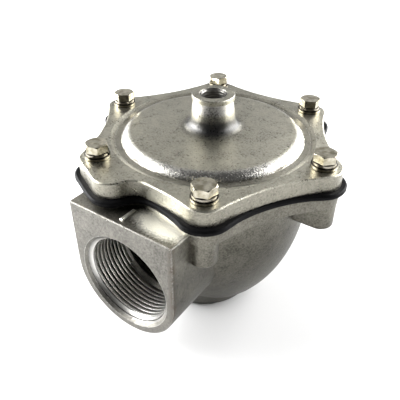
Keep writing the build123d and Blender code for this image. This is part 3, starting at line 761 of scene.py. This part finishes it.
class Shape:
    """Geometry node tree under construction, with a named input for each size."""

    def __init__(self, name):
        self.tree = bpy.data.node_groups.new(name, "GeometryNodeTree")
        sockets = self.tree.interface
        sockets.new_socket("Geometry", in_out="OUTPUT", socket_type="NodeSocketGeometry")
        self.group_in = self.tree.nodes.new("NodeGroupInput")
        self.group_out = self.tree.nodes.new("NodeGroupOutput")

    def size(self, name):
        """Named input for one size."""
        self.tree.interface.new_socket(name, in_out="INPUT", socket_type="NodeSocketFloat")
        return self.group_in.outputs[name]

    def add(self, kind, values=None, **settings):
        return add_node(self.tree, kind, values, **settings)

    def math(self, operation, first, second):
        """One calculation with two values."""
        return self.add("ShaderNodeMath", {0: first, 1: second}, operation=operation).outputs[0]

    def depth(self):
        """Each point's distance along the Z axis."""
        place = self.add("GeometryNodeInputPosition").outputs[0]
        return self.add("ShaderNodeSeparateXYZ", {"Vector": place}).outputs["Z"]

    def flat(self):
        """Each point's place across the Z axis."""
        place = self.add("GeometryNodeInputPosition").outputs[0]
        axes = self.add("ShaderNodeSeparateXYZ", {"Vector": place}).outputs
        return self.add("ShaderNodeCombineXYZ", {"X": axes["X"], "Y": axes["Y"]}).outputs[0]

    def reach(self):
        """Each point's distance from the Z axis."""
        length = self.add("ShaderNodeVectorMath", {0: self.flat()}, operation="LENGTH")
        return length.outputs["Value"]

    def moved(self, geometry, offset):
        """Geometry with every point moved by an offset."""
        values = {"Geometry": geometry, "Offset": offset}
        return self.add("GeometryNodeSetPosition", values).outputs[0]

    def end(self, geometry, material):
        """Closes the tree with real geometry and its material."""
        real = self.add("GeometryNodeRealizeInstances", {"Geometry": geometry}).outputs[0]
        values = {"Geometry": real, "Material": material}
        dressed = self.add("GeometryNodeSetMaterial", values).outputs[0]
        self.tree.links.new(dressed, self.group_out.inputs["Geometry"])

    def mesh(self, name, **sizes):
        """Plain mesh that the tree makes with these sizes."""
        maker = bpy.data.objects.new(name, bpy.data.meshes.new(name))
        bpy.context.scene.collection.objects.link(maker)
        modifier = maker.modifiers.new("shape", "NODES")
        modifier.node_group = self.tree
        for item in self.tree.interface.items_tree:
            if item.in_out == "INPUT" and item.name in sizes:
                modifier[item.identifier] = sizes[item.name]
        graph = bpy.context.evaluated_depsgraph_get()
        made = bpy.data.meshes.new_from_object(maker.evaluated_get(graph))
        bpy.data.objects.remove(maker)
        return made


print("a shape tree can", [name for name in vars(Shape) if not name.startswith("_")])

# %% [markdown]
# A screw thread is one ridge that follows a helix. Geometry Nodes draw the helix as a curve and
# carry a small trapezoid along it, so the same tree cuts every port from six sizes: the radius
# of the bore, the ridge's height, the pitch, the start and length of the helix, and the mouth's
# radius. The ridge's root lies a little inside the wall, so no gap shows.

# %% Helix and ridge
HELIX_POINTS = 160
HIDDEN_ROOT = 0.0003
ROOT_SHARE = 0.97
CREST_SHARE = 0.22
ROUND_SHARE = 0.08
ROUND_POINTS = 2
PROFILE_TURN = math.radians(90)


def thread_helix(thread, bore, ridge, pitch, start, length):
    """Curve along the middle of the ridge's section."""
    half_ridge = thread.math("MULTIPLY", ridge, 0.5)
    middle = thread.math("ADD", thread.math("SUBTRACT", bore, half_ridge), HIDDEN_ROOT / 2)
    spiral = {
        "Resolution": HELIX_POINTS,
        "Rotations": thread.math("DIVIDE", length, pitch),
        "Start Radius": middle,
        "End Radius": middle,
        "Height": length,
    }
    helix = thread.add("GeometryNodeCurveSpiral", spiral).outputs[0]
    first_turn = thread.add("ShaderNodeCombineXYZ", {"Z": start}).outputs[0]
    helix = thread.moved(helix, first_turn)
    return thread.add("GeometryNodeSetCurveNormal", {"Curve": helix}, mode="Z_UP").outputs[0]


def thread_section(thread, ridge, pitch):
    """Small trapezoid with rounded corners, its top toward the port's axis."""
    sizes = {
        "Height": thread.math("ADD", ridge, HIDDEN_ROOT),
        "Bottom Width": thread.math("MULTIPLY", pitch, ROOT_SHARE),
        "Top Width": thread.math("MULTIPLY", pitch, CREST_SHARE),
        "Offset": 0.0,
    }
    section = thread.add("GeometryNodeCurvePrimitiveQuadrilateral", sizes, mode="TRAPEZOID")
    corner_r = thread.math("MULTIPLY", pitch, ROUND_SHARE)
    rounding = {"Curve": section.outputs[0], "Radius": corner_r, "Count": ROUND_POINTS}
    section = thread.add("GeometryNodeFilletCurve", rounding, mode="POLY").outputs[0]
    quarter = {"Geometry": section, "Rotation": (0, 0, PROFILE_TURN)}
    return thread.add("GeometryNodeTransform", quarter).outputs[0]


print("crest", CREST_SHARE, "and root", ROOT_SHARE, "of the pitch")

# %% [markdown]
# A real thread starts where the chamfer tool has cut the mouth. So the ridge is first kept behind
# the port's face and then pressed out to the mouth's cone. A boolean cut would do that too, but
# it leaves thin stray faces. The tree also stores how high each point stands, which tells the
# finish where the crests are. The points on the mouth's cone get one even value.

# %% Thread tree
BEHIND_FACE = 0.0003
CHAMFER_TONE = 0.78
ON_CONE = 0.00002


def press_to_mouth(thread, geometry, mouth):
    """Moves points behind the face and out to a cone that narrows by 45 degrees from the mouth."""
    depth = thread.depth()
    back = thread.math("SUBTRACT", thread.math("MAXIMUM", depth, BEHIND_FACE), depth)
    geometry = thread.moved(geometry, thread.add("ShaderNodeCombineXYZ", {"Z": back}).outputs[0])
    cone = thread.math("SUBTRACT", mouth, thread.depth())
    missing = thread.math("MAXIMUM", thread.math("SUBTRACT", cone, thread.reach()), 0.0)
    outward = thread.add("ShaderNodeVectorMath", {0: thread.flat()}, operation="NORMALIZE")
    values = {0: outward.outputs["Vector"], "Scale": missing}
    push = thread.add("ShaderNodeVectorMath", values, operation="SCALE").outputs["Vector"]
    return thread.moved(geometry, push)


def crest_height(thread, bore, ridge, mouth):
    """0 at the root and 1 at the crest, and the chamfer's own tone on the mouth's cone."""
    height = thread.math("DIVIDE", thread.math("SUBTRACT", bore, thread.reach()), ridge)
    to_cone = thread.math("SUBTRACT", thread.math("ADD", thread.reach(), thread.depth()), mouth)
    chamfered = thread.math("LESS_THAN", to_cone, ON_CONE)
    return thread.math("MAXIMUM", height, thread.math("MULTIPLY", chamfered, CHAMFER_TONE))


def thread_tree(material):
    """Helical ridge inside a bore that starts at Z 0 and goes down its length along +Z."""
    thread = Shape("thread_ridge")
    bore, ridge, pitch = (thread.size(name) for name in ("bore", "ridge", "pitch"))
    start, length, mouth = (thread.size(name) for name in ("start", "length", "mouth"))
    helix = thread_helix(thread, bore, ridge, pitch, start, length)
    section = thread_section(thread, ridge, pitch)
    sweep_inputs = {"Curve": helix, "Profile Curve": section, "Fill Caps": True}
    swept_ridge = thread.add("GeometryNodeCurveToMesh", sweep_inputs).outputs[0]
    pressed = press_to_mouth(thread, swept_ridge, mouth)
    height = crest_height(thread, bore, ridge, mouth)
    marked = {"Geometry": pressed, "Name": "crest", "Value": height}
    thread.end(thread.add("GeometryNodeStoreNamedAttribute", marked).outputs[0], material)
    return thread


print("ridges start", BEHIND_FACE * 1000, "mm behind the face")

# %% [markdown]
# Both pipe ports have the same 11-per-inch pipe thread, and the small pilot port has the
# 19-per-inch one. A helix could be drawn along each port, but it is simpler to make every thread
# along +Z and then turn it to its port's direction, which leaves its hand as it was. Crests are
# light and grooves get painted shade, so the finish fades between two tones by the stored height.
# In the small port the crests are painted darker too, as painted shade for the deep hole.

# %% Cut the three threads
THREAD_LIGHT = (0.70, 0.69, 0.66, 1)
# Painted shade: the grooves are near black, and the small port's crests are painted darker than
# the big ones'.
SHADED_CREST = (0.30, 0.29, 0.27, 1)
GROOVE_SHADE = (0.012, 0.011, 0.01, 1)
THREAD_GRAIN = (1500.0, 3.0)
THREAD_GRAIN_SHARE = 0.1
THREAD_GRAIN_DEPTH = 0.000004
THREAD_ROUGHNESS = (0.36, 0.40)
CREST_EDGE = (0.75, 1.0)
INLET_FACE = -0.0734
PILOT_FACE = 0.1115
SHARP_RIDGE = math.radians(40)
PIPE = {
    "bore": 0.0239,
    "ridge": 0.00148,
    "pitch": 0.002309,
    "start": -0.0010,
    "length": 0.0245,
    "mouth": 0.02534,
}
PILOT = {
    "bore": 0.00658,
    "ridge": 0.00086,
    "pitch": 0.001337,
    "start": -0.0003,
    "length": 0.0122,
    "mouth": 0.00640,
}


def cut_thread(name, light):
    """Bare metal that is light on the crests, with painted shade in the grooves."""
    cut = Finish(name)
    grain = cut.noise(*THREAD_GRAIN)
    height = cut.add("ShaderNodeAttribute", attribute_name="crest").outputs["Fac"]
    height = cut.math("ADD", height, cut.times(grain, THREAD_GRAIN_SHARE))
    colour = cut.blend(cut.remap(height, *CREST_EDGE), GROOVE_SHADE, light)
    cut.set(Base_Color=colour, Metallic=1.0)
    cut.set(Roughness=cut.remap(grain, *NOISE_RANGE, *THREAD_ROUGHNESS))
    cut.set(Normal=cut.bump(grain, THREAD_GRAIN_DEPTH))
    return cut.material


bare_thread = cut_thread("cut_thread", THREAD_LIGHT)
shaded_thread = cut_thread("shaded_thread", SHADED_CREST)
threads = thread_tree(bare_thread)
inlet_place = Matrix.Translation((0, INLET_FACE, INLET_HEIGHT))
pilot_place = Matrix.Translation((0, 0, PILOT_FACE))
ports = {
    "inlet_thread": (PIPE, bare_thread, inlet_place @ Matrix.Rotation(-math.pi / 2, 4, "X")),
    "outlet_thread": (PIPE, bare_thread, Matrix.Identity(4)),
    "pilot_thread": (PILOT, shaded_thread, pilot_place @ Matrix.Rotation(math.pi, 4, "X")),
}
for name, (sizes, metal, port) in ports.items():
    ridge_mesh = threads.mesh(name, **sizes)
    reaches = [round(math.hypot(v.co.x, v.co.y), 5) for v in ridge_mesh.vertices]
    ridge_mesh.transform(port)
    ridge_mesh.set_sharp_from_angle(angle=SHARP_RIDGE)
    finished(name, ridge_mesh, metal, "housing")
    print(name, "faces", len(ridge_mesh.polygons), "radii", min(reaches), max(reaches))

# %% [markdown]
# The return spring pushes the stack down onto the seat. Its wire follows a helix too, but the
# first and last turns lie closed so that the spring stands square. Three helices could be joined
# for that. Instead, one curve over the wire's length sets the height, which gives the close ends
# and the open middle in one step.

# %% Return spring
SPRING_R = 0.0070
WIRE_R = 0.00055
WIRE_SIDES = 12
SPRING_LOW = 0.0760
SPRING_HIGH = 0.0970
SPRING_TURNS = 6.5
POINTS_PER_TURN = 40
CLOSED_END = (0.16, 0.055)
coil = Shape("coil_spring")
coil_r, wire_r = coil.size("radius"), coil.size("wire")
low, high = coil.size("low"), coil.size("high")
flat_coil = {
    "Resolution": POINTS_PER_TURN,
    "Rotations": SPRING_TURNS,
    "Start Radius": coil_r,
    "End Radius": coil_r,
    "Height": 0.0,
}
helix = coil.add("GeometryNodeCurveSpiral", flat_coil).outputs[0]
along = coil.add("GeometryNodeSplineParameter").outputs["Factor"]
rise = coil.add("ShaderNodeFloatCurve", {"Value": along})
rise.mapping.curves[0].points.new(*CLOSED_END)
rise.mapping.curves[0].points.new(*(1 - share for share in CLOSED_END))
rise.mapping.update()
climb = coil.math("MULTIPLY", rise.outputs[0], coil.math("SUBTRACT", high, low))
height = coil.math("ADD", low, climb)
helix = coil.moved(helix, coil.add("ShaderNodeCombineXYZ", {"Z": height}).outputs[0])
helix = coil.add("GeometryNodeSetCurveNormal", {"Curve": helix}, mode="Z_UP").outputs[0]
circle = {"Resolution": WIRE_SIDES, "Radius": wire_r}
wire = coil.add("GeometryNodeCurvePrimitiveCircle", circle).outputs[0]
wire_inputs = {"Curve": helix, "Profile Curve": wire, "Fill Caps": True}
coil.end(coil.add("GeometryNodeCurveToMesh", wire_inputs).outputs[0], spring_wire.material)
print("spring turns:", SPRING_TURNS, "height when shut:", round(SPRING_HIGH - SPRING_LOW, 4))

# %% [markdown]
# The tree now makes the spring once, and the plain mesh takes the place of the packed spring on
# the housing.

# %% Seat the spring
SHARP_WIRE = math.radians(50)
wire_low, wire_high = SPRING_LOW + WIRE_R, SPRING_HIGH - WIRE_R
spring_mesh = coil.mesh("return_coil", radius=SPRING_R, wire=WIRE_R, low=wire_low, high=wire_high)
spring_mesh.set_sharp_from_angle(angle=SHARP_WIRE)
spring = finished("return_coil", spring_mesh, spring_wire.material, "housing")
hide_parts("return_spring")
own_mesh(spring)
spring_top = max(v.co.z for v in spring_mesh.vertices)
print("spring faces", len(spring_mesh.polygons), "top", round(spring_top, 5))

# %% [markdown]
